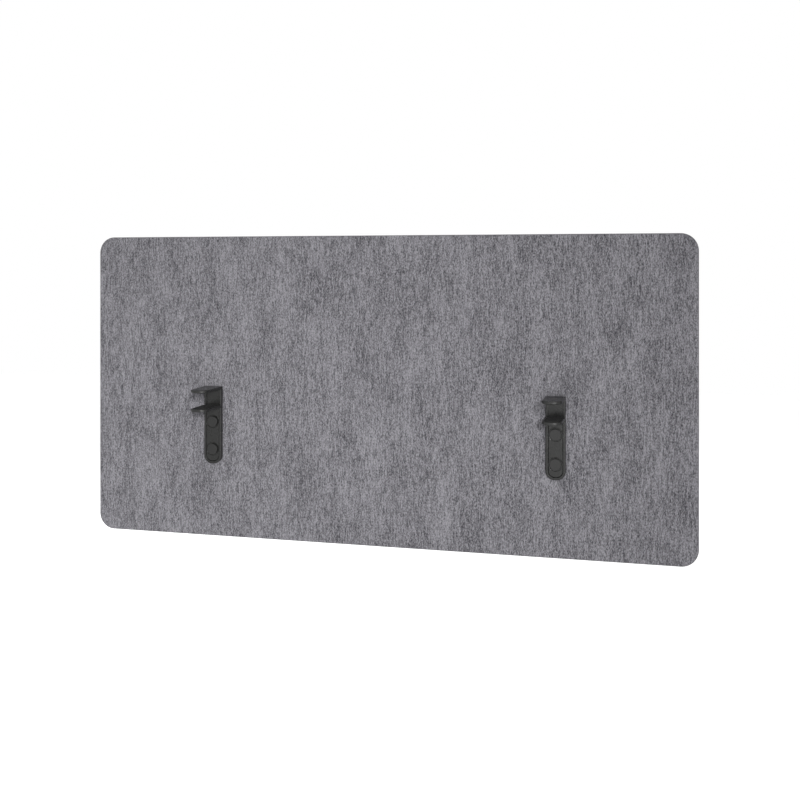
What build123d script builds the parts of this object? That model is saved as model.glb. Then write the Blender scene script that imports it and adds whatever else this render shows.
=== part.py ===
from build123d import *
import os

# A desk divider screen: one sheet of pressed felt, held at a desk's edge by two clamps.
# Each clamp is a channel body with a fixed upper jaw, and a lower jaw that slides up and
# down in the channel and is locked there by two knobs.
# Sizes are in millimetres. +X runs along the screen, -Y from the screen over the desk, +Z up.
# Z = 0 is the desk top, where the upper jaws' pads rest. Y = 0 is the desk's edge, at the
# front of the clamp bodies. X = 0 is the middle of the screen.

# Felt sheet
sheet_width = 1200
sheet_height = 600
sheet_thickness = 12
sheet_corner = 32
sheet_rise = 300
clamp_inset = 256.5

# Clamp body: a long plate with a rounded lower end and a channel in its front
body_width = 37
body_height = 154
body_depth = 7
body_end_radius = 16
body_edge_chamfer = 1
rim_width = 4.7
channel_depth = 3
channel_start = 3
channel_top_radius = 2
channel_edge_chamfer = 0.4
web_thickness = 1.5

# Jaws: two flat tongues that reach over and under the desk
jaw_thickness = 5.5
jaw_reach = 68
jaw_corner = 16
jaw_edge_chamfer = 0.8
desk_opening = 30
jaw_travel = 18

# Rubber pads, glued into shallow seats in the jaws
pad_thickness = 2
pad_proud = 0.7
pad_inset = 4
pad_desk_gap = 6
pad_side_gap = 0.1

# Slide plate of the lower jaw, which runs in the channel
slide_side_gap = 0.15
slide_back_gap = 0.2
slide_end_gap = 0.3
slide_sunk = 0.2
slide_step_width = 0.8
slide_step_depth = 1.4
slide_edge_chamfer = 0.4
tongue_rim_gap = 0.3

# Lock knobs, their screws and their nuts
upper_knob_drop = 33
lower_knob_foot = 29.1
knob_radius = 10.8
knob_height = 4.4
knob_edge_chamfer = 0.7
knob_cap = 1.4
knob_notches = 12
notch_width = 1.8
knob_seat_gap = 0.2
recess_radius = 13
screw_radius = 2
screw_slot_gap = 0.25
screw_thread_gap = 0.05
screw_head_width = 7
screw_head_height = 2.2
screw_head_gap = 0.05
nut_width = 7
nut_thickness = 2.1
nut_edge_chamfer = 0.3
nut_side_gap = 0.3
nut_seat_gap = 0.2
screw_end_gap = 0.2

# Flat-headed fixing screws, put through the felt from its back into a clamp body
fixing_radius = 2
fixing_felt_gap = 0.1
fixing_thread_gap = 0.05
fixing_hole_depth = 3
fixing_end_gap = 0.3
fixing_head_radius = 8.5
fixing_head_height = 1.8
fixing_head_chamfer = 0.6
fixing_socket_width = 3
fixing_socket_depth = 1.3

# Levels and widths that follow from the sizes above
upper_jaw_face = pad_proud
body_top = upper_jaw_face + jaw_thickness
body_bottom = body_top - body_height
sheet_top = body_top + sheet_rise
sheet_front = body_depth
sheet_back = sheet_front + sheet_thickness
channel_width = body_width - 2 * rim_width
channel_top = upper_jaw_face - channel_start
channel_bottom = body_bottom + rim_width
channel_end_radius = body_end_radius - rim_width
pocket_floor = channel_depth + web_thickness

lower_jaw_face = -desk_opening - pad_proud
tongue_bottom = lower_jaw_face - jaw_thickness
slide_width = channel_width - 2 * slide_side_gap
slide_back = channel_depth - slide_back_gap
slide_bottom = channel_bottom + slide_end_gap
slide_end_radius = channel_end_radius - slide_side_gap
step_floor = slide_sunk + slide_step_depth

pad_width = body_width - 2 * pad_inset
pad_length = jaw_reach - pad_inset - pad_desk_gap
pad_front_radius = jaw_corner - pad_inset
pad_seat_depth = pad_thickness - pad_proud

upper_knob_z = lower_jaw_face - upper_knob_drop
lower_knob_z = body_bottom + lower_knob_foot
knob_heights = {"upper": upper_knob_z, "lower": lower_knob_z}
knob_back = step_floor - knob_seat_gap
slot_width = 2 * (screw_radius + screw_slot_gap)
slot_heights = [z + jaw_travel / 2 for z in knob_heights.values()]
pocket_width = nut_width + 2 * nut_side_gap
pocket_length = pocket_width + jaw_travel
nut_front = pocket_floor + nut_seat_gap

# The fixings are above and below the two nut pockets
fixing_heights = [
    (lower_jaw_face + slot_heights[0] + pocket_length / 2) / 2,
    (slot_heights[1] - pocket_length / 2 + channel_bottom) / 2,
]
fixing_tip = body_depth - fixing_hole_depth + fixing_end_gap
notch_side = notch_width / 2**0.5

clamp_x = sheet_width / 2 - clamp_inset
clamp_places = {"left": -clamp_x, "right": clamp_x}


def front_plane(x, y, z=0):
    """A plane that faces the desk: its own x runs along +X and its own y runs up."""
    return Plane(origin=(x, y, z), x_dir=(1, 0, 0), z_dir=(0, -1, 0))


def save(piece, name):
    """Labels a finished piece and writes it to its own file."""
    piece.part.label = name
    export_step(piece.part, f"parts/{name}.step")


def tongue_outline(x, z, back):
    """A jaw seen from above: straight sides and two large rounded corners at its front."""
    with BuildSketch(Plane.XY.offset(z)) as outline:
        with Locations((x, -jaw_reach)):
            Rectangle(body_width, jaw_reach + back, align=(Align.CENTER, Align.MIN))
        fillet(outline.vertices().group_by(Axis.Y)[0], jaw_corner)
    return outline.sketch


def pad_outline(x, z, gap):
    """A jaw's pad seen from above, drawn smaller all round by the gap."""
    with BuildSketch(Plane.XY.offset(z)) as outline:
        with Locations((x, -jaw_reach + pad_inset + gap)):
            Rectangle(pad_width - 2 * gap, pad_length - 2 * gap, align=(Align.CENTER, Align.MIN))
        fillet(outline.vertices().group_by(Axis.Y)[0], pad_front_radius - gap)
    return outline.sketch


def plate_outline(plane, width, top, bottom, end_radius):
    """An upright plate seen from the front, square at its top and rounded at its lower end."""
    with BuildSketch(plane) as outline:
        with Locations((0, top)):
            Rectangle(width, top - bottom, align=(Align.CENTER, Align.MAX))
        fillet(outline.vertices().group_by(Axis.Y)[0], end_radius)
    return outline.sketch


def make_felt_sheet():
    """The acoustic sheet, cut square, with a hole through it for each fixing screw."""
    with BuildPart() as felt_sheet:
        with BuildSketch(front_plane(0, sheet_back, sheet_top)) as outline:
            Rectangle(sheet_width, sheet_height, align=(Align.CENTER, Align.MAX))
            fillet(outline.vertices(), sheet_corner)
        extrude(amount=sheet_thickness)
        hole_places = [(x, z) for x in clamp_places.values() for z in fixing_heights]
        with BuildSketch(front_plane(0, sheet_back)):
            with Locations(*hole_places):
                Circle(fixing_radius + fixing_felt_gap)
        extrude(amount=sheet_thickness, mode=Mode.SUBTRACT)
    save(felt_sheet, "felt_sheet")


def make_clamp_body(side, x):
    """The channel body and upper jaw of one clamp, a single casting."""
    with BuildPart() as clamp_body:
        extrude(tongue_outline(x, upper_jaw_face, body_depth), amount=jaw_thickness)
        back_plane = front_plane(x, body_depth)
        outline = plate_outline(back_plane, body_width, body_top, body_bottom, body_end_radius)
        extrude(outline, amount=body_depth)

        # The outer edges, chamfered in one go: the jaw's top and underside, and the plate's front
        jaw_top = clamp_body.faces().sort_by(Axis.Z)[-1]
        jaw_underside = clamp_body.faces().filter_by(Plane.XY).sort_by(Axis.Z)[-2]
        plate_front = clamp_body.faces().filter_by(Plane.XZ).sort_by(Axis.Y)[-2]
        outer_edges = (
            jaw_top.edges().sort_by(Axis.Y)[:-1]
            + jaw_underside.edges().sort_by(Axis.Y)[:-1]
            + plate_front.edges().sort_by(Axis.Z)[:-1]
        )
        chamfer(outer_edges, body_edge_chamfer)

        # The channel that the lower jaw slides in
        with BuildSketch(front_plane(x, channel_depth)) as channel:
            with Locations((0, channel_top)):
                channel_length = channel_top - channel_bottom
                Rectangle(channel_width, channel_length, align=(Align.CENTER, Align.MAX))
            fillet(channel.vertices().group_by(Axis.Y)[0], channel_end_radius)
            fillet(channel.vertices().group_by(Axis.Y)[-1], channel_top_radius)
        extrude(amount=channel_depth, mode=Mode.SUBTRACT)
        rim_face = clamp_body.faces().filter_by(Plane.XZ).sort_by(Axis.Y)[1]
        chamfer(rim_face.inner_wires()[0].edges(), channel_edge_chamfer)

        # Slots for the lock screws, with a pocket behind each for its square nut
        with BuildSketch(back_plane):
            with Locations(*[(0, z) for z in slot_heights]):
                SlotCenterToCenter(jaw_travel, slot_width, rotation=90)
        extrude(amount=body_depth, mode=Mode.SUBTRACT)
        with BuildSketch(back_plane):
            with Locations(*[(0, z) for z in slot_heights]):
                Rectangle(pocket_width, pocket_length)
        extrude(amount=body_depth - pocket_floor, mode=Mode.SUBTRACT)

        # Blind holes for the fixing screws, and the seat for the pad
        with BuildSketch(back_plane):
            with Locations(*[(0, z) for z in fixing_heights]):
                Circle(fixing_radius + fixing_thread_gap)
        extrude(amount=fixing_hole_depth, mode=Mode.SUBTRACT)
        extrude(pad_outline(x, upper_jaw_face, 0), amount=pad_seat_depth, mode=Mode.SUBTRACT)
    save(clamp_body, f"{side}_clamp_body")


def make_lower_jaw(side, x):
    """The lower jaw of one clamp: a tongue, and the slide plate that carries it."""
    with BuildPart() as lower_jaw:
        extrude(tongue_outline(x, tongue_bottom, -tongue_rim_gap), amount=jaw_thickness)
        tongue_top = lower_jaw.faces().sort_by(Axis.Z)[-1]
        tongue_underside = lower_jaw.faces().sort_by(Axis.Z)[0]
        chamfer(tongue_top.edges() + tongue_underside.edges(), jaw_edge_chamfer)

        # The slide plate, whose stepped front edge shows as a dark line round it
        back_plane = front_plane(x, slide_back)
        step_plane = front_plane(x, step_floor)
        outline = plate_outline(
            back_plane, slide_width, lower_jaw_face, slide_bottom, slide_end_radius
        )
        extrude(outline, amount=slide_back - step_floor)
        front_outline = plate_outline(
            step_plane,
            slide_width - 2 * slide_step_width,
            lower_jaw_face,
            slide_bottom + slide_step_width,
            slide_end_radius - slide_step_width,
        )
        extrude(front_outline, amount=slide_step_depth)
        slide_front = lower_jaw.faces().filter_by(Plane.XZ).sort_by(Axis.Y)[-3]
        chamfer(slide_front.edges(), slide_edge_chamfer)

        # The neck that joins it to the tongue through the channel's mouth
        with BuildSketch(back_plane):
            with Locations((0, lower_jaw_face - jaw_edge_chamfer)):
                neck_height = jaw_thickness - 2 * jaw_edge_chamfer
                Rectangle(slide_width, neck_height, align=(Align.CENTER, Align.MAX))
        extrude(amount=slide_back + tongue_rim_gap + jaw_edge_chamfer)

        # A round recess for each knob, as deep as the step, and a hole for its screw
        knob_places = [(0, z) for z in knob_heights.values()]
        with BuildSketch(step_plane):
            with Locations(*knob_places):
                Circle(recess_radius)
        extrude(amount=slide_step_depth, mode=Mode.SUBTRACT)
        with BuildSketch(back_plane):
            with Locations(*knob_places):
                Circle(screw_radius + screw_slot_gap)
        extrude(amount=slide_back - slide_sunk, mode=Mode.SUBTRACT)

        # The seat for the pad
        seat_level = lower_jaw_face - pad_seat_depth
        extrude(pad_outline(x, seat_level, 0), amount=pad_seat_depth, mode=Mode.SUBTRACT)
    save(lower_jaw, f"{side}_lower_jaw")


def make_pad(name, x, back_level, way):
    """A rubber pad that stands proud of its seat, upwards or downwards."""
    with BuildPart() as pad:
        extrude(pad_outline(x, back_level, pad_side_gap), amount=way * pad_thickness)
    save(pad, name)


def make_lock_knob(name, x, z):
    """A low round knob: a smooth cap, a notched rim and a hexagonal socket for its screw."""
    with BuildPart() as lock_knob:
        with BuildSketch(front_plane(x, knob_back, z)):
            Circle(knob_radius)
        extrude(amount=knob_height)
        chamfer(lock_knob.faces().sort_by(Axis.Y)[0].edges(), knob_edge_chamfer)
        with BuildSketch(front_plane(x, knob_back, z)):
            with PolarLocations(knob_radius, knob_notches):
                Rectangle(notch_side, notch_side, rotation=45)
        extrude(amount=knob_height - knob_cap, mode=Mode.SUBTRACT)
        with BuildSketch(front_plane(x, knob_back, z)):
            RegularPolygon(screw_head_width / 2 + screw_head_gap, 6, major_radius=False)
        extrude(amount=screw_head_height + screw_head_gap, mode=Mode.SUBTRACT)
    save(lock_knob, name)


def make_lock_screw(name, x, z):
    """The screw in a knob: its hexagonal head and its shank, down to the square nut."""
    screw_tip = body_depth - screw_end_gap
    with BuildPart() as lock_screw:
        with BuildSketch(front_plane(x, knob_back, z)):
            RegularPolygon(screw_head_width / 2, 6, major_radius=False)
        extrude(amount=screw_head_height)
        with BuildSketch(front_plane(x, screw_tip, z)):
            Circle(screw_radius)
        extrude(amount=screw_tip - knob_back)
    save(lock_screw, name)


def make_square_nuts(side, x):
    """The two thin square nuts behind the web, one on each lock screw."""
    nut_back = front_plane(x, nut_front + nut_thickness)
    nut_places = [(0, z) for z in knob_heights.values()]
    with BuildPart() as square_nuts:
        with BuildSketch(nut_back):
            with Locations(*nut_places):
                Rectangle(nut_width, nut_width)
        extrude(amount=nut_thickness)
        chamfer(square_nuts.edges().filter_by(Axis.Y), nut_edge_chamfer)
        with BuildSketch(nut_back):
            with Locations(*nut_places):
                Circle(screw_radius + screw_thread_gap)
        extrude(amount=nut_thickness, mode=Mode.SUBTRACT)
    save(square_nuts, f"{side}_square_nuts")


def make_fixing_screws(side, x):
    """The screws that hold a clamp body to the felt, with wide flat heads on the felt's back."""
    head_back = sheet_back + fixing_head_height
    with BuildPart() as fixing_screws:
        with BuildSketch(*[front_plane(x, head_back, z) for z in fixing_heights]):
            Circle(fixing_head_radius)
        extrude(amount=fixing_head_height)
        chamfer(fixing_screws.faces().group_by(Axis.Y)[-1].edges(), fixing_head_chamfer)
        with BuildSketch(*[front_plane(x, sheet_back, z) for z in fixing_heights]):
            Circle(fixing_radius)
        extrude(amount=sheet_back - fixing_tip)
        with BuildSketch(*[front_plane(x, head_back, z) for z in fixing_heights]):
            RegularPolygon(fixing_socket_width / 2, 6, major_radius=False)
        extrude(amount=fixing_socket_depth, mode=Mode.SUBTRACT)
    save(fixing_screws, f"{side}_fixing_screws")


os.makedirs("parts", exist_ok=True)
make_felt_sheet()
for side, x in clamp_places.items():
    make_clamp_body(side, x)
    make_lower_jaw(side, x)
    make_pad(f"{side}_upper_pad", x, upper_jaw_face + pad_seat_depth, -1)
    make_pad(f"{side}_lower_pad", x, lower_jaw_face - pad_seat_depth, 1)
    for level, z in knob_heights.items():
        make_lock_knob(f"{side}_{level}_lock_knob", x, z)
        make_lock_screw(f"{side}_{level}_lock_screw", x, z)
    make_square_nuts(side, x)
    make_fixing_screws(side, x)

jaw_gap_least = desk_opening - jaw_travel
print(f"Sheet {sheet_width} x {sheet_height} x {sheet_thickness} mm")
fixing_levels = " and ".join(f"{z:.1f}" for z in fixing_heights)
print(f"Jaws open {jaw_gap_least} to {desk_opening} mm, fixings at Z = {fixing_levels} mm")
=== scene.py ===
# %% [markdown]
# # A desk divider screen
# One sheet of grey pressed felt stands at the edge of a desk, held by two black clamps. The
# clamps' castings, knobs and screws come ready made, as an exact model that other programs
# measure, so this lesson never moves or reshapes them. It sets up the camera and the light of
# the photograph, gives every finish its own procedural material, and models the two things
# that are soft on the real object: the felt, and the rubber pads that grip the desk.
#
# The first cell loads that model and keeps its outer box, because whatever is added has to
# stay inside it.

# %% Load the fixed model
import math

import bpy
import numpy as np
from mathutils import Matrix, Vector, noise


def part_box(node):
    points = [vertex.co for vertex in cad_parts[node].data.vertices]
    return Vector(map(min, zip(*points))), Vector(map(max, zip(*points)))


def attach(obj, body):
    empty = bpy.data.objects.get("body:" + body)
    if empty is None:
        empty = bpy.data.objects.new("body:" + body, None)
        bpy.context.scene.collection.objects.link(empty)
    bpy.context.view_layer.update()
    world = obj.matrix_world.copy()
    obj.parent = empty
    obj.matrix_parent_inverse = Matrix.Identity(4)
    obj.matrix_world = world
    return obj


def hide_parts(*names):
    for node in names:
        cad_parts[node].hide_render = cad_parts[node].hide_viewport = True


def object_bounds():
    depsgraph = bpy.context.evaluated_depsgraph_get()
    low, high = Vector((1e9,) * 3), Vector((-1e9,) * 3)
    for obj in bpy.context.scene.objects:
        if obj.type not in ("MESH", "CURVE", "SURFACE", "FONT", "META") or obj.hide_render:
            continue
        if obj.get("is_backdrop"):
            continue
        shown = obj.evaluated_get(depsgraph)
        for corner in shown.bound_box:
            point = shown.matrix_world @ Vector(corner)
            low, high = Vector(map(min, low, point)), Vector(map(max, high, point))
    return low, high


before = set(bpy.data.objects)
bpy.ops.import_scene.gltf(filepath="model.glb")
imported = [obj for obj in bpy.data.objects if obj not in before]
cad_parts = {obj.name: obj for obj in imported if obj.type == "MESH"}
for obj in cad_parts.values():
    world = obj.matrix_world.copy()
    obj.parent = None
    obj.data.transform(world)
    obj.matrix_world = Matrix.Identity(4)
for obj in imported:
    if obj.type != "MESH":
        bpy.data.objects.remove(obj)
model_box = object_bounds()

mm = 0.001
print("model box, metres:", [[round(v, 4) for v in corner] for corner in model_box])

# %% [markdown]
# ## The camera
# The photograph is a level product shot, and the top and bottom edges of the sheet show how
# it was taken: they run together towards the left, so the camera stood near the right end,
# turned a little to the left. The point straight ahead of it isn't at the middle of the
# picture, which means that the picture was cropped from a larger one. A lens shift does the
# same in Blender. The alternative, tilting the camera, would make the clamps' upright edges
# lean.

# %% Camera
photo_width = 800
focal_pixels = 973
horizon_row = 266.9
axis_column = 450
camera_heading = math.radians(13.02)
camera_place = Vector((0.5581, -1.7902, 0.2454))

camera = bpy.data.objects.new("photo_camera", bpy.data.cameras.new("photo_camera"))
bpy.context.scene.collection.objects.link(camera)
camera.location = camera_place
camera.rotation_euler = (math.radians(90), 0, camera_heading)
camera.data.sensor_fit = "HORIZONTAL"
camera.data.lens = focal_pixels / photo_width * camera.data.sensor_width
camera.data.shift_x = (photo_width / 2 - axis_column) / photo_width
camera.data.shift_y = (horizon_row - photo_width / 2) / photo_width
bpy.context.scene.camera = camera
bpy.context.scene.view_settings.view_transform = "Standard"
print(f"lens {camera.data.lens:.1f} mm, shift {camera.data.shift_x:.4f}, {camera.data.shift_y:.4f}")

# %% [markdown]
# ## Floor and surroundings
# The photograph has a pure white ground and no desk. A real screen is clamped to a desk top,
# so the floor lies a desk's height below the clamps. It is a pale surface that still takes the
# screen's shadow: seen by the camera it also glows a little, which lifts it to white where
# nothing shades it. The world is white to the camera and to reflections, and a plain soft
# grey dome to everything else. A white wall behind the object would catch its shadow.

# %% Helpers for objects and materials


def new_material(name):
    """A new material with its node tree and its Principled shader."""
    material = bpy.data.materials.new(name)
    material.use_nodes = True
    tree = material.node_tree
    return material, tree, tree.nodes["Principled BSDF"]


def new_object(name, points, faces, *materials):
    """An object in the scene, with a new mesh of these points, faces and materials."""
    mesh = bpy.data.meshes.new(name)
    mesh.from_pydata(points, [], faces)
    for material in materials:
        mesh.materials.append(material)
    mesh.update()
    made = bpy.data.objects.new(name, mesh)
    bpy.context.scene.collection.objects.link(made)
    return made


def computed(tree, operation, first, second):
    """What a Math node makes of two values, each of them a socket or a plain number."""
    node = tree.nodes.new("ShaderNodeMath")
    node.operation = operation
    for socket, value in zip(node.inputs, (first, second)):
        if isinstance(value, bpy.types.NodeSocket):
            tree.links.new(value, socket)
        else:
            socket.default_value = value
    return node.outputs[0]


def any_of(tree, *sockets):
    """The largest of several 0 to 1 values."""
    value = sockets[0]
    for socket in sockets[1:]:
        value = computed(tree, "MAXIMUM", value, socket)
    return value


print("object and material helpers ready")

# %% Floor
desk_height = 0.73
floor_half = 6.0
floor_grey = 0.8
floor_roughness = 0.9
floor_glow = 0.82


def make_floor():
    """A wide pale floor under the screen, which glows a little for the camera."""
    material, tree, shader = new_material("pale_floor")
    shader.inputs["Base Color"].default_value = (floor_grey, floor_grey, floor_grey, 1)
    shader.inputs["Roughness"].default_value = floor_roughness
    shader.inputs["Emission Color"].default_value = (1, 1, 1, 1)
    path = tree.nodes.new("ShaderNodeLightPath").outputs
    seen = any_of(tree, path["Is Camera Ray"], path["Is Glossy Ray"])
    glow = computed(tree, "MULTIPLY", seen, floor_glow)
    tree.links.new(glow, shader.inputs["Emission Strength"])
    corners = [(-1, -1), (1, -1), (1, 1), (-1, 1)]
    points = [(floor_half * x, floor_half * y, -desk_height) for x, y in corners]
    floor = new_object("floor", points, [range(4)], material)
    floor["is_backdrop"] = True


make_floor()
print(f"floor {desk_height} m under the desk top, {2 * floor_half} m wide")

# %% World
dome_strength = 0.17


def make_world():
    """White for the camera and for reflections, and a grey dome for all other light."""
    world = bpy.data.worlds.new("soft_dome")
    bpy.context.scene.world = world
    world.use_nodes = True
    tree = world.node_tree
    dome = tree.nodes["Background"]
    dome.inputs["Color"].default_value = (1, 1, 1, 1)
    dome.inputs["Strength"].default_value = dome_strength
    white = tree.nodes.new("ShaderNodeBackground")
    white.inputs["Color"].default_value = (1, 1, 1, 1)
    white.inputs["Strength"].default_value = 1
    path = tree.nodes.new("ShaderNodeLightPath").outputs
    seen = any_of(tree, path["Is Camera Ray"], path["Is Glossy Ray"],
                  path["Is Transmission Ray"])
    mix = tree.nodes.new("ShaderNodeMixShader")
    tree.links.new(seen, mix.inputs["Fac"])
    tree.links.new(dome.outputs[0], mix.inputs[1])
    tree.links.new(white.outputs[0], mix.inputs[2])
    tree.links.new(mix.outputs[0], tree.nodes["World Output"].inputs["Surface"])


make_world()
print(f"dome of strength {dome_strength}, white to the camera")

# %% [markdown]
# ## Lamps
# Each jaw throws a small soft shadow on the felt, to the left of its tip and a little down.
# That asks for one main lamp, to the right of the camera, hardly higher than the screen and
# rather small for its distance. It has a grid in front, which narrows its beam, and points at
# the lower left of the screen: the felt gets no brighter towards the lamp. Each jaw also has a
# bright spot on the right side of its rounded front, as high as the jaw is thick and too wide
# to be the main lamp's reflection. A low, wide strip beside the camera gives it, and adds
# little light to the felt. A wide soft box a little left of the middle fills the shadows. The
# last one stands behind the screen, because its back is looked at too.

# %% Lamps


def soft_box(name, place, aim, size, power, beam=180):
    """An area lamp of a width and height, aimed at a point, whose beam can be made narrower."""
    lamp = bpy.data.objects.new(name, bpy.data.lights.new(name, "AREA"))
    lamp.data.shape = "RECTANGLE"
    lamp.data.size, lamp.data.size_y = size
    lamp.data.energy = power
    lamp.data.spread = math.radians(beam)
    lamp.location = place
    lamp.rotation_euler = (Vector(aim) - Vector(place)).to_track_quat("-Z", "Y").to_euler()
    bpy.context.scene.collection.objects.link(lamp)
    print(f"{name}: {power} W at {place}")


soft_box("key_box", (1.5, -3.42, 0.94), aim=(-0.72, 0, -0.2), size=(0.5, 0.5), power=7.8, beam=54)
soft_box("strip_box", (1.05, -1.8, -0.3), aim=(0.1, 0, -0.05), size=(1.7, 0.3), power=8.4)
soft_box("fill_box", (-0.22, -1.4, 0.21), aim=(-0.1, 0, -0.05), size=(1.3, 0.9), power=3)
soft_box("back_box", (-1.2, 2.6, 1.1), aim=(0, 0, 0), size=(2, 1.6), power=42)

# %% [markdown]
# ## Helpers for node materials
# Every finish here is built from the same few steps: take a place on the surface, read noise
# there, and turn the noise into colour or relief. Small helper functions keep each material
# short enough to read. Places are object coordinates, in metres, because these meshes have no
# unwrapped coordinates and don't need any.

# %% Helpers for places and noise
usual_noise = (0.3, 0.7)  # most values of a noise texture lie between these two


def object_place(tree):
    """The socket that gives a point's place on the object, in metres."""
    return tree.nodes.new("ShaderNodeTexCoord").outputs["Object"]


def turned(tree, place, turn):
    """The place as it is read along axes that are turned by three angles."""
    mapping = tree.nodes.new("ShaderNodeMapping")
    mapping.vector_type = "TEXTURE"
    mapping.inputs["Rotation"].default_value = turn
    tree.links.new(place, mapping.inputs["Vector"])
    return mapping.outputs["Vector"]


def cloud(tree, place, detail=2.0, roughness=0.5, distortion=0.0):
    """Soft noise with one feature per unit of the place."""
    texture = tree.nodes.new("ShaderNodeTexNoise")
    texture.inputs["Scale"].default_value = 1
    texture.inputs["Detail"].default_value = detail
    texture.inputs["Roughness"].default_value = roughness
    texture.inputs["Distortion"].default_value = distortion
    tree.links.new(place, texture.inputs["Vector"])
    return texture.outputs["Fac"]


def blended(tree, first, second, share):
    """A mix of two values: share 0 is all the first."""
    mix = tree.nodes.new("ShaderNodeMix")
    mix.inputs["Factor"].default_value = share
    tree.links.new(first, mix.inputs["A"])
    tree.links.new(second, mix.inputs["B"])
    return mix.outputs["Result"]


def ranged(tree, value, low, high, to_low=0.0, to_high=1.0):
    """A value brought from one range to another and held inside it."""
    span = tree.nodes.new("ShaderNodeMapRange")
    span.inputs["From Min"].default_value = low
    span.inputs["From Max"].default_value = high
    span.inputs["To Min"].default_value = to_low
    span.inputs["To Max"].default_value = to_high
    tree.links.new(value, span.inputs["Value"])
    return span.outputs["Result"]


print("noise is taken from", usual_noise[0], "to", usual_noise[1])

# %% Helpers for colour and relief


def coloured(tree, value, dark, light):
    """A colour between dark and light, as the value goes from 0 to 1."""
    mix = tree.nodes.new("ShaderNodeMix")
    mix.data_type = "RGBA"
    # A Mix node has an A and a B of each type, so its colour sockets are found by number.
    mix.inputs[6].default_value = (*dark, 1)
    mix.inputs[7].default_value = (*light, 1)
    tree.links.new(value, mix.inputs[0])
    return mix.outputs[2]


def relief(tree, height, depth, under=None):
    """A bumped normal, where height 1 stands depth metres over height 0, on a normal under it."""
    bump = tree.nodes.new("ShaderNodeBump")
    bump.inputs["Distance"].default_value = depth
    tree.links.new(height, bump.inputs["Height"])
    if under:
        tree.links.new(under, bump.inputs["Normal"])
    return bump.outputs["Normal"]


def set_numbers(node, **numbers):
    """Sets a node's inputs by their names, written with _ for each space."""
    for label, number in numbers.items():
        node.inputs[label.replace("_", " ")].default_value = number


print("colour and relief helpers ready")

# %% [markdown]
# ## The fibre effect
# Pressed felt is a mat of short polyester fibres. The board of the photograph is mottled,
# with lighter and darker fibres that mostly lie upright, so its surface reads as short soft
# streaks over faint clouds, taller than they are wide. Both the face and the cut edge of the
# board show fibres, only at other sizes, so the effect is one node group, placed in both
# materials. Painting the pattern as an image would stop it from being sharp close up.

# %% The fibre group's sockets


def group_with(name, numbers, outputs):
    """A shader node group with a Vector input, named numbers in, and named numbers out."""
    group = bpy.data.node_groups.new(name, "ShaderNodeTree")
    group.interface.new_socket(name="Vector", in_out="INPUT", socket_type="NodeSocketVector")
    for label, default in numbers.items():
        socket = group.interface.new_socket(
            name=label, in_out="INPUT", socket_type="NodeSocketFloat")
        socket.default_value = default
    for label in outputs:
        group.interface.new_socket(name=label, in_out="OUTPUT", socket_type="NodeSocketFloat")
    return group, group.nodes.new("NodeGroupInput"), group.nodes.new("NodeGroupOutput")


def socket_names(group, way):
    """The names of a group's inputs or outputs."""
    return [item.name for item in group.interface.items_tree if item.in_out == way]


fibre_group, fibre_inputs, fibre_outputs = group_with(
    "felt_fibres",
    {"Streak Length": 5 * mm, "Streak Width": 2 * mm, "Contrast": 1.0},
    ("Tone", "Height"),
)
print("fibre group inputs:", socket_names(fibre_group, "INPUT"))

# %% The fibre group's nodes
long_streak_share = 0.28
cloud_share = 0.13
fibre_share = 0.2
fibre_relief_share = 0.6


def streaks(length, width, **looks):
    """Noise stretched along Z: the group's streak sizes times a length and a width."""
    parts = fibre_group.nodes.new("ShaderNodeSeparateXYZ")
    fibre_group.links.new(fibre_inputs.outputs["Vector"], parts.inputs[0])
    joined = fibre_group.nodes.new("ShaderNodeCombineXYZ")
    for axis, label, factor in (
        ("X", "Streak Width", width),
        ("Y", "Streak Width", width),
        ("Z", "Streak Length", length),
    ):
        size = computed(fibre_group, "MULTIPLY", fibre_inputs.outputs[label], factor)
        divided = computed(fibre_group, "DIVIDE", parts.outputs[axis], size)
        fibre_group.links.new(divided, joined.inputs[axis])
    return cloud(fibre_group, joined.outputs[0], **looks)


def fill_fibre_group():
    """Streaky fibres: Tone is their mottled shade and Height their relief, both 0 to 1."""
    short = streaks(length=1, width=1, detail=1.5, roughness=0.55, distortion=0.4)
    long = streaks(length=4.5, width=1.8, detail=0.5, roughness=0.5)
    single = streaks(length=1, width=0.22, detail=1.0, roughness=0.6, distortion=1.2)
    clouds = streaks(length=34, width=26, detail=1.0, roughness=0.4)
    tone = blended(fibre_group, short, long, long_streak_share)
    tone = blended(fibre_group, tone, clouds, cloud_share)
    tone = blended(fibre_group, tone, single, fibre_share)

    centred = computed(fibre_group, "SUBTRACT", tone, 0.5)
    spread = computed(fibre_group, "MULTIPLY", centred, fibre_inputs.outputs["Contrast"])
    level = ranged(fibre_group, spread, -0.5, 0.5)
    fibre_group.links.new(level, fibre_outputs.inputs["Tone"])
    height = blended(fibre_group, short, single, fibre_relief_share)
    fibre_group.links.new(height, fibre_outputs.inputs["Height"])


fill_fibre_group()
print("fibre group:", len(fibre_group.nodes), "nodes")

# %% [markdown]
# ## The grain effect
# The castings are powder coated, the knobs are moulded with a fine spark texture, the screws
# are plated, and the pads' rubber is slightly dusty. All of them break up the light with a
# fine even grain, and a larger cloudiness makes some places a little glossier than others.
# One group gives both numbers: each material asks for its own grain size and feeds its
# colour, roughness and relief from it.

# %% The grain group


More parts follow.
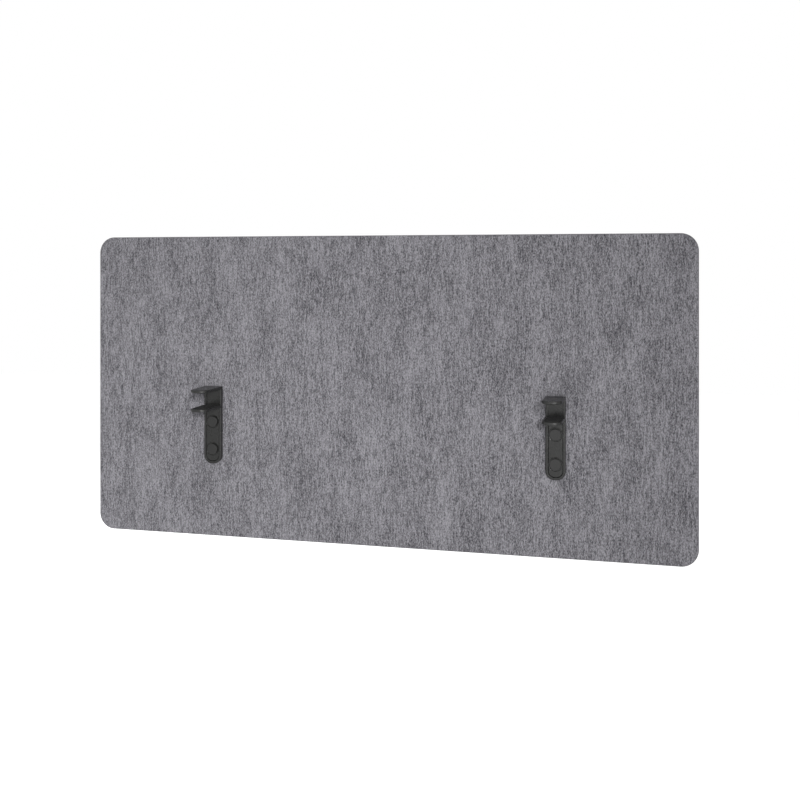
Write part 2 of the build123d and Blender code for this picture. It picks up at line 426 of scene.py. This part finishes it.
def make_grain_group():
    """Fine grain: Height is the relief and Patch a slow change over the surface, 0 to 1."""
    group, inside, outside = group_with(
        "fine_grain",
        {"Grain Size": 0.5 * mm, "Patch Size": 30 * mm},
        ("Height", "Patch"),
    )
    for label, size, detail in (("Height", "Grain Size", 2.0), ("Patch", "Patch Size", 3.0)):
        divided = group.nodes.new("ShaderNodeVectorMath")
        divided.operation = "DIVIDE"
        group.links.new(inside.outputs["Vector"], divided.inputs[0])
        group.links.new(inside.outputs[size], divided.inputs[1])
        value = cloud(group, divided.outputs[0], detail=detail, roughness=0.55)
        group.links.new(ranged(group, value, *usual_noise), outside.inputs[label])
    return group


grain_group = make_grain_group()
print("grain group outputs:", socket_names(grain_group, "OUTPUT"))

# %% [markdown]
# ## The felt's finishes
# The face and the cut edge differ. The face is mottled grey, faintly violet, with soft
# upright streaks a little narrower than a match. The edge is cut through the board's layers,
# so its fibres lie along the board in thin lines, and at the two upright ends they are seen
# end on. It looks a little denser and darker. A Principled shader with some sheen stands for
# the loose fibre ends, which catch light at a low angle.

# %% Felt materials
felt_dark = (0.06, 0.058, 0.067)
felt_light = (0.381, 0.373, 0.403)
edge_dark = (0.12, 0.118, 0.13)
edge_light = (0.27, 0.265, 0.285)
felt_roughness = (0.86, 0.98)
upright = (0, 0, 0)
along_the_board = (0, math.radians(90), 0)


def placed(tree, group, place, **numbers):
    """A group placed in a material, with its own numbers."""
    node = tree.nodes.new("ShaderNodeGroup")
    node.node_tree = group
    tree.links.new(place, node.inputs["Vector"])
    set_numbers(node, **numbers)
    return node.outputs


def make_felt_material(name, dark, light, lay, contrast, streak, depth):
    """Pressed felt: its fibres lie along the axis that lay turns Z into."""
    material, tree, shader = new_material(name)
    place = turned(tree, object_place(tree), lay)
    length, width = streak
    fibres = placed(
        tree, fibre_group, place, Streak_Length=length, Streak_Width=width, Contrast=contrast)
    tree.links.new(coloured(tree, fibres["Tone"], dark, light), shader.inputs["Base Color"])
    rough = ranged(tree, fibres["Height"], *usual_noise, *felt_roughness)
    tree.links.new(rough, shader.inputs["Roughness"])
    tree.links.new(relief(tree, fibres["Height"], depth), shader.inputs["Normal"])
    set_numbers(shader, Specular_IOR_Level=0.25, Sheen_Weight=0.12, Sheen_Roughness=0.6)
    return material


felt_face = make_felt_material(
    "felt_face", felt_dark, felt_light, lay=upright, contrast=4.9,
    streak=(3.4 * mm, 1.4 * mm), depth=0.3 * mm)
felt_cut = make_felt_material(
    "felt_cut_edge", edge_dark, edge_light, lay=along_the_board, contrast=2.0,
    streak=(8 * mm, 0.5 * mm), depth=0.2 * mm)
print("felt materials:", felt_face.name, "and", felt_cut.name)

# %% [markdown]
# ## The felt board
# The exact model has a flat slab with sharp edges. Real pressed felt is softer: its cut edge
# is slightly rounded, its faces aren't perfectly flat, and it swells a little around
# everything that is screwed tight against it, here the clamp bodies in front and the screw
# heads at the back. The board is one grid of points for each face, with more lines near the
# clamps. Its corner squares are bent round into quarter discs, and rings of points join the
# two faces through the thickness. Displacing a plain cube would leave its corners square.

# %% Felt board: the grid's lines
sheet_low, sheet_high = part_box("felt_sheet")
sheet_corner = 32 * mm
edge_round = 1.3 * mm
coarse_step = 18 * mm
corner_step = 4 * mm
fine_step = 2 * mm
fine_reach = 12 * mm

clamp_sides = ("left", "right")
body_boxes = [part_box(f"{side}_clamp_body") for side in clamp_sides]


def grid_lines(low, high, bodies):
    """Lines across a face between its rounded edges, closer in the corners and near bodies."""
    low, high = low + edge_round, high - edge_round
    bend = sheet_corner - edge_round
    stretches = [(start - fine_reach, stop + fine_reach, fine_step) for start, stop in bodies]
    stretches += [(low, low + bend, corner_step), (high - bend, high, corner_step)]
    stops = {low, high}
    for start, stop, step in stretches:
        stops.update(np.linspace(start, stop, round((stop - start) / step) + 1))
    kept = sorted(stops)
    lines = []
    for here, there in zip(kept, kept[1:]):
        pieces = max(1, round((there - here) / coarse_step))
        lines.extend(np.linspace(here, there, pieces, endpoint=False))
    return [*lines, kept[-1]]


# Both bodies hang at the same height, so one of them gives the level lines.
grid_x = grid_lines(sheet_low.x, sheet_high.x, [(low.x, high.x) for low, high in body_boxes])
grid_z = grid_lines(sheet_low.z, sheet_high.z, [(low.z, high.z) for low, high in body_boxes[-1:]])
print(len(grid_x), "upright and", len(grid_z), "level lines on each face")

# %% Felt board: its swell
felt_swell = 0.35 * mm
swell_width = 5 * mm
wave_depth = 0.12 * mm
wave_size = 90 * mm
front_noise_row = 0
back_noise_row = 7
body_end_radius = 16 * mm
screw_boxes = [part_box(f"{side}_fixing_screws") for side in clamp_sides]


def distance_outside_body(x, z, box):
    """How far a point of the face is outside a clamp body's outline, which has a round foot."""
    low, high = box
    middle = (low.x + high.x) / 2
    half = (high.x - low.x) / 2
    across = abs(x - middle) - (half - body_end_radius)
    below = (low.z + body_end_radius) - z
    round_foot = math.hypot(max(across, 0), max(below, 0)) - body_end_radius
    return max(round_foot, z - high.z)


def distance_outside_head(x, z, box):
    """How far a point of the back is outside the nearer of a clamp's two screw heads."""
    low, high = box
    radius = (high.x - low.x) / 2
    middle = (low.x + high.x) / 2
    heights = (low.z + radius, high.z - radius)
    return min(math.hypot(x - middle, z - height) for height in heights) - radius


def swollen(distance):
    """The felt's swell at a distance from what presses it: none at its edge, full further out."""
    share = min(max(distance / swell_width, 0), 1)
    return felt_swell * share * share * (3 - 2 * share)


def face_depth(x, z, front):
    """How far a point of the front or back face stands out from the flat slab."""
    if front:
        pressed = min(distance_outside_body(x, z, box) for box in body_boxes)
    else:
        pressed = min(distance_outside_head(x, z, box) for box in screw_boxes)
    row = front_noise_row if front else back_noise_row
    wave = noise.noise(Vector((x / wave_size, row, z / wave_size)))
    full = swollen(pressed)
    return full + wave_depth * wave * full / felt_swell


sheet_middle = ((sheet_low.x + sheet_high.x) / 2, (sheet_low.z + sheet_high.z) / 2)
print(f"the front stands {face_depth(*sheet_middle, True) / mm:.2f} mm out at its middle")

# %% Felt board: its faces


def rounded_place(x, z):
    """A grid point with its corner square bent into a quarter disc, and its outward way."""
    core_x = min(max(x, sheet_low.x + sheet_corner), sheet_high.x - sheet_corner)
    core_z = min(max(z, sheet_low.z + sheet_corner), sheet_high.z - sheet_corner)
    dx, dz = x - core_x, z - core_z
    reach = max(abs(dx), abs(dz))
    length = math.hypot(dx, dz)
    if length == 0:
        return (x, z), (0, 0)
    way_x, way_z = dx / length, dz / length
    return (core_x + reach * way_x, core_z + reach * way_z), (way_x, way_z)


def face_points(front):
    """The points of one face, column by column, and the outward way of each."""
    flat = sheet_low.y if front else sheet_high.y
    points, ways = [], []
    for x in grid_x:
        for z in grid_z:
            (px, pz), way = rounded_place(x, z)
            out = face_depth(px, pz, front)
            points.append((px, flat - out if front else flat + out, pz))
            ways.append(way)
    return points, ways


front_points, outward_ways = face_points(True)
back_points, _ = face_points(False)
print(len(front_points), "points on each face")

# %% Felt board: its edge
arc_steps = 4
wall_steps = 3


def outline_loop(columns, rows):
    """The numbers of a face's outermost points, once round it."""
    loop = [i * rows for i in range(columns)]
    loop += [(columns - 1) * rows + j for j in range(1, rows)]
    loop += [i * rows + rows - 1 for i in range(columns - 2, -1, -1)]
    loop += list(range(rows - 2, 0, -1))
    return loop


def edge_rings():
    """Each ring's angle round the rounding, and its share of the way from front to back."""
    arc = [math.radians(90) * step / arc_steps for step in range(1, arc_steps + 1)]
    wall = [(arc[-1], step / wall_steps) for step in range(1, wall_steps)]
    return [(angle, 0) for angle in arc] + wall + [(angle, 1) for angle in reversed(arc)]


edge_loop = outline_loop(len(grid_x), len(grid_z))
print(len(edge_loop), "points round each face,", len(edge_rings()), "rings between the two")

# %% Felt board: the mesh


def make_felt_board():
    """The whole board as one closed mesh: front grid, back grid, and the rings between them."""
    rows = len(grid_z)
    back_start = len(front_points)
    points = front_points + back_points
    faces = []
    for i in range(len(grid_x) - 1):
        for j in range(rows - 1):
            a, d = i * rows + j, i * rows + j + 1
            b, c = a + rows, d + rows
            faces.append((a, b, c, d))
            faces.append(tuple(back_start + k for k in (d, c, b, a)))
    finish = [0] * len(faces)

    rings = [edge_loop]
    for angle, share in edge_rings():
        out, inset = edge_round * math.sin(angle), edge_round * (1 - math.cos(angle))
        rings.append(range(len(points), len(points) + len(edge_loop)))
        for k in edge_loop:
            (x, front_y, z), (way_x, way_z) = front_points[k], outward_ways[k]
            back_y = back_points[k][1]
            y = (1 - share) * (front_y + inset) + share * (back_y - inset)
            points.append((x + out * way_x, y, z + out * way_z))
    rings.append([back_start + k for k in edge_loop])
    for before, after in zip(rings, rings[1:]):
        for here in range(len(edge_loop)):
            there = (here + 1) % len(edge_loop)
            faces.append((before[there], before[here], after[here], after[there]))
    finish += [1] * (len(faces) - len(finish))

    board = new_object("felt_board", points, faces, felt_face, felt_cut)
    board.data.polygons.foreach_set("material_index", finish)
    board.data.polygons.foreach_set("use_smooth", [True] * len(faces))
    board.data.update()
    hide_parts("felt_sheet")
    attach(board, "screen")
    return board


felt_board = make_felt_board()
print("felt board:", len(felt_board.data.vertices), "points,",
      len(felt_board.data.polygons), "faces")

# %% [markdown]
# ## Black finishes
# The castings are powder coated: a satin black skin with a fine pebbled grain that spreads
# every reflection. The knobs are moulded plastic, a shade lighter and more matt. A pure black
# base would look like a hole, so each base is a very dark grey, and more than half of what is
# seen on them is the reflected room. Roughness wanders slowly over each piece, as it does on
# real coats. The exact model ends its edges in small flat chamfers, where a coat flows round
# them. A Bevel node rounds the shading there, and leaves the mesh as it is.

# %% A grained finish
tongue_root_y = -5 * mm
plate_front_y = -3 * mm
bevel_samples = 8


def rounded_edges(tree, place, plate_radius, tongue_radius):
    """A normal with soft edges: of one radius on the plates, another on the tongues ahead."""
    axes = tree.nodes.new("ShaderNodeSeparateXYZ")
    tree.links.new(place, axes.inputs[0])
    bevel = tree.nodes.new("ShaderNodeBevel")
    bevel.samples = bevel_samples
    size = ranged(
        tree, axes.outputs["Y"], tongue_root_y, plate_front_y, tongue_radius, plate_radius)
    tree.links.new(size, bevel.inputs["Radius"])
    return bevel.outputs["Normal"]


def make_grained(name, dark, light, rough, grain, patch, depth,
                 edges=None, rough_from="Patch", **numbers):
    """A finish of fine grain and slow patches, with numbers for the shader's own sockets."""
    material, tree, shader = new_material(name)
    place = object_place(tree)
    marks = placed(tree, grain_group, place, Grain_Size=grain, Patch_Size=patch)
    tree.links.new(coloured(tree, marks["Patch"], dark, light), shader.inputs["Base Color"])
    tree.links.new(ranged(tree, marks[rough_from], 0, 1, *rough), shader.inputs["Roughness"])
    soft = rounded_edges(tree, place, *edges) if edges else None
    tree.links.new(relief(tree, marks["Height"], depth, soft), shader.inputs["Normal"])
    set_numbers(shader, **numbers)
    return material


print(f"edge radii change from y {tongue_root_y / mm:.0f} to {plate_front_y / mm:.0f} mm")

# %% Castings and knobs


def dress(material, *nodes):
    """Gives these pieces of both clamps' exact model a material, in every slot."""
    for side in clamp_sides:
        for node in nodes:
            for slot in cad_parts[f"{side}_{node}"].material_slots:
                slot.material = material


casting_black = make_grained(
    "powder_coated_casting", (0.0145, 0.0148, 0.0141), (0.0188, 0.019, 0.0182),
    rough=(0.25, 0.31), grain=0.45 * mm, patch=26 * mm, depth=0.008 * mm,
    edges=(1.1 * mm, 0.9 * mm), Specular_IOR_Level=0.38)
knob_black = make_grained(
    "moulded_knob", (0.016, 0.016, 0.0156), (0.0205, 0.0205, 0.02),
    rough=(0.38, 0.46), grain=0.3 * mm, patch=14 * mm, depth=0.015 * mm,
    edges=(0.5 * mm, 0.5 * mm), Specular_IOR_Level=0.36)
dress(casting_black, "clamp_body", "lower_jaw")
dress(knob_black, "upper_lock_knob", "lower_lock_knob")
print("black finishes:", casting_black.name, "and", knob_black.name)

# %% [markdown]
# ## Steel finishes
# The lock screws and their square nuts are bright zinc plated, and the flat-headed screws at
# the back of the felt are blackened. Zinc plate is a dull mirror with cloudy, faintly
# crystalline patches. Black oxide is a thin dark skin that still shines like metal, so it
# gets a dark colour under a high Metallic value, where a dark paint would have none.

# %% Screws and nuts
zinc_plate = make_grained(
    "zinc_plate", (0.42, 0.43, 0.45), (0.62, 0.62, 0.61),
    rough=(0.28, 0.45), grain=0.25 * mm, patch=3 * mm, depth=0.008 * mm, Metallic=1.0)
black_oxide = make_grained(
    "black_oxide", (0.03, 0.03, 0.032), (0.055, 0.054, 0.055),
    rough=(0.3, 0.42), grain=0.25 * mm, patch=4 * mm, depth=0.008 * mm, Metallic=0.8)
dress(zinc_plate, "square_nuts", "upper_lock_screw", "lower_lock_screw")
dress(black_oxide, "fixing_screws")
print("steel finishes:", zinc_plate.name, "and", black_oxide.name)

# %% [markdown]
# ## The rubber pads
# Each jaw has a thin rubber pad glued into a shallow seat, so that the clamp grips the desk
# without marking it. Such pads have low ribs across them, which the exact model leaves out.
# The mesh is swept along the pad's length: at each step a row of points crosses the pad, as
# wide as its rounded outline there, and the ribs are a wave in the rows' height. Matt rubber
# shows almost no highlight, and a little pale dust lies on it in patches.

# %% Pad material
pad_rubber = make_grained(
    "pad_rubber", (0.017, 0.017, 0.017), (0.028, 0.0275, 0.027),
    rough=(0.72, 0.88), grain=0.35 * mm, patch=9 * mm, depth=0.03 * mm,
    rough_from="Height", Specular_IOR_Level=0.35)
print("pad material:", pad_rubber.name)

# %% Pads: outline and ribs
pad_front_radius = 11.9 * mm
least_half_width = 1.5 * mm
rib_pitch = 3.1 * mm
rib_depth = 0.35 * mm
rib_power = 3
end_margin = 3 * mm
side_margin = 1.5 * mm
pad_edge_round = 0.25 * mm
steps_per_rib = 8
corner_rows = 9
place_decimals = 7  # rows closer than a tenth of a micrometre are the same row
row_shares = (-1, -0.97, -0.9, -0.5, 0, 0.5, 0.9, 0.97, 1)


def pad_half_width(y, low, high):
    """Half the pad's width at a place along it: its front corners are rounded."""
    half = (high.x - low.x) / 2
    ahead = max(low.y + pad_front_radius - y, 0)
    width = half - pad_front_radius + math.sqrt(max(pad_front_radius ** 2 - ahead ** 2, 0))
    return max(width, least_half_width)


def row_places(low, high):
    """Where rows of points cross the pad: in even steps, and closer in its round corners."""
    bend = np.radians(np.linspace(0, 90, corner_rows))
    front = low.y + pad_front_radius * (1 - np.cos(bend))
    count = round((high.y - low.y) / rib_pitch * steps_per_rib)
    even = np.linspace(low.y, high.y, count + 1)
    return np.unique(np.concatenate([front, even]).round(place_decimals))


def groove_depth(y, share, half, low, high):
    """How deep the ribbed face is grooved, which fades out towards the pad's outline."""
    wave = 0.5 - 0.5 * math.cos(2 * math.pi * (y - low.y) / rib_pitch)
    near_end = min((y - low.y) / end_margin, (high.y - y) / end_margin, 1)
    near_side = min((1 - abs(share)) * half / side_margin, 1)
    return rib_depth * wave ** rib_power * max(near_end, 0) * near_side


print(f"a rib each {rib_pitch / mm:.1f} mm, with grooves {rib_depth / mm:.2f} mm deep")

# %% Pads: the meshes


def make_ribbed_pad(node, body, faces_up):
    """A pad in the place of a node: ribbed on the side that meets the desk, flat on the other."""
    low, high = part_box(node)
    middle = (low.x + high.x) / 2
    ys = row_places(low, high)
    face_z, back_z = (high.z, low.z) if faces_up else (low.z, high.z)
    into = -1 if faces_up else 1

    points, faces = [], []
    for y in ys:
        half = pad_half_width(y, low, high)
        for share in row_shares:
            rim = pad_edge_round if abs(share) == 1 or y in (ys[0], ys[-1]) else 0
            sunk = groove_depth(y, share, half, low, high) + rim
            points.append((middle + share * half, y, face_z + into * sunk))
        points.append((middle + half, y, back_z))
        points.append((middle - half, y, back_z))
    ring = len(row_shares) + 2
    for row in range(len(ys) - 1):
        for k in range(ring):
            a, b = row * ring + k, row * ring + (k + 1) % ring
            quad = (a, b, b + ring, a + ring)
            faces.append(quad if faces_up else quad[::-1])
    last = (len(ys) - 1) * ring
    ends = (tuple(range(ring))[::-1], tuple(range(last, last + ring)))
    faces.extend(end if faces_up else end[::-1] for end in ends)

    pad = new_object(f"{node}_ribbed", points, faces, pad_rubber)
    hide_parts(node)
    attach(pad, body)
    return len(faces)


for side in clamp_sides:
    for node, body, faces_up in (
        (f"{side}_upper_pad", "screen", False),
        (f"{side}_lower_pad", f"{side}_jaw", True),
    ):
        print(node, "ribbed,", make_ribbed_pad(node, body, faces_up), "faces")

# %% [markdown]
# ## Last checks
# The visual model has to stay in the exact model's box, apart from the little that soft felt
# may stand proud. The last cell prints how far each corner of its box lies from the exact model's.

# %% Sizes, and the end
visual_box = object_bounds()
for name, corner, kept in zip(("lowest", "highest"), visual_box, model_box):
    print(name, "corner moved by", [round((a - b) / mm, 2) for a, b in zip(corner, kept)], "mm")
